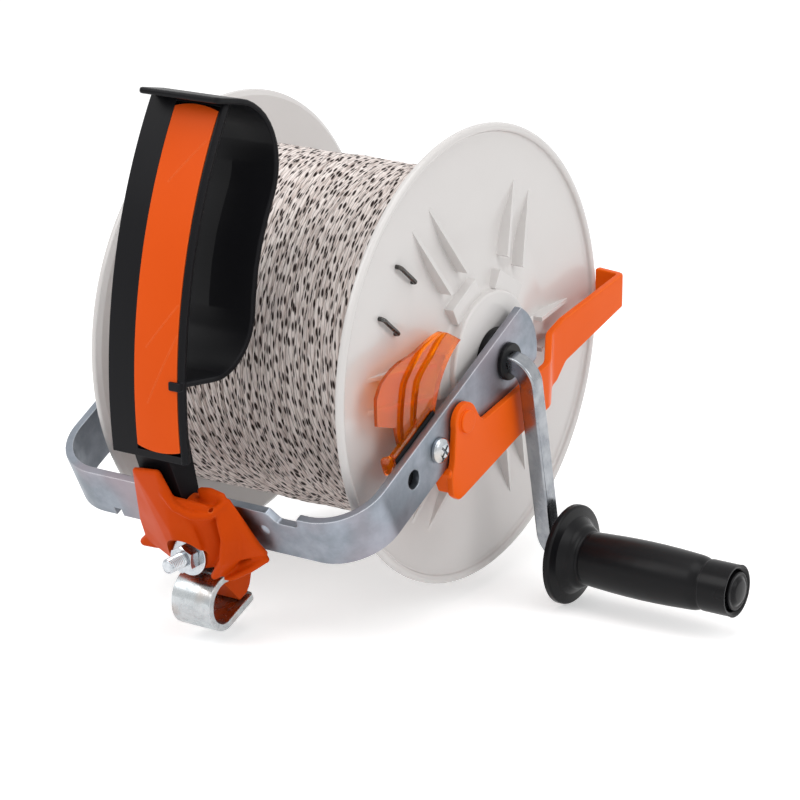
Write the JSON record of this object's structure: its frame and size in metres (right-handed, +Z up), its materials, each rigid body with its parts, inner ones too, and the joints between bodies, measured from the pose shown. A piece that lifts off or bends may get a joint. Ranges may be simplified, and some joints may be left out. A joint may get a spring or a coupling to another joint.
{
  "type": "electric fence reel",
  "caption": "Hand-wound electric fence reel with a flanged drum of rope, bent strip frame, crank, brake lever, handle and clamping hook.",
  "frame": {"origin": "middle of the bounding box at its base, under the drum", "axes": "+X along the axle towards the crank, -Y towards the carrying handle, +Z up"},
  "size_m": [0.338, 0.305, 0.2905],
  "materials": {
    "white_plastic": "satin, warm white",
    "fence_rope": "plaited cream rope with dark flecks",
    "steel_wire": "dull wire",
    "zinc_steel": "zinc plated, slightly mottled",
    "bright_steel": "bright zinc",
    "black_plastic": "satin black",
    "orange_plastic": "satin orange",
    "clear_orange": "translucent orange",
    "black_rubber": "matt"
  },
  "bodies": {
    "frame": {"frame_strip": "zinc_steel", "brake_shoe": "clear_orange", "shoe_pad": "black_rubber", "shoe_screw": "bright_steel", "shoe_nut": "bright_steel", "handle_body": "black_plastic", "handle_insert": "orange_plastic", "hook": "zinc_steel", "clamp_wing": "orange_plastic", "clamp_jaw": "orange_plastic", "clamp_bolt": "bright_steel", "clamp_washer": "bright_steel", "clamp_nut": "bright_steel"},
    "drum": {"flange_crank": "white_plastic", "flange_far": "white_plastic", "drum_core": "white_plastic", "rope_core": "fence_rope", "rope_winding": "fence_rope", "staple_upper": "steel_wire", "staple_lower": "steel_wire", "crank_bar": "zinc_steel", "bush_crank": "black_plastic", "bush_far": "black_plastic", "axle_clip": "zinc_steel", "grip_washer": "bright_steel"},
    "grip": {"grip_sleeve": "black_plastic", "grip_cap": "black_plastic"},
    "lever": {"brake_lever": "orange_plastic", "lever_clip": "bright_steel"}
  },
  "joints": [
    {"name": "drum_spin", "type": "hinge", "parent": "frame", "child": "drum", "pos_m": [-0.0605, 0.02104, 0.13545], "axis": [1, 0, 0], "continuous": true},
    {"name": "grip_spin", "type": "hinge", "parent": "drum", "child": "grip", "pos_m": [0.1145, 0.04468, 0.027], "axis": [1, 0, 0], "continuous": true},
    {"name": "brake_lever_swing", "type": "hinge", "parent": "frame", "child": "lever", "pos_m": [0.0418, -0.02408, 0.11486], "axis": [1, 0, 0], "range_deg": [0, 3.5]}
  ]
}
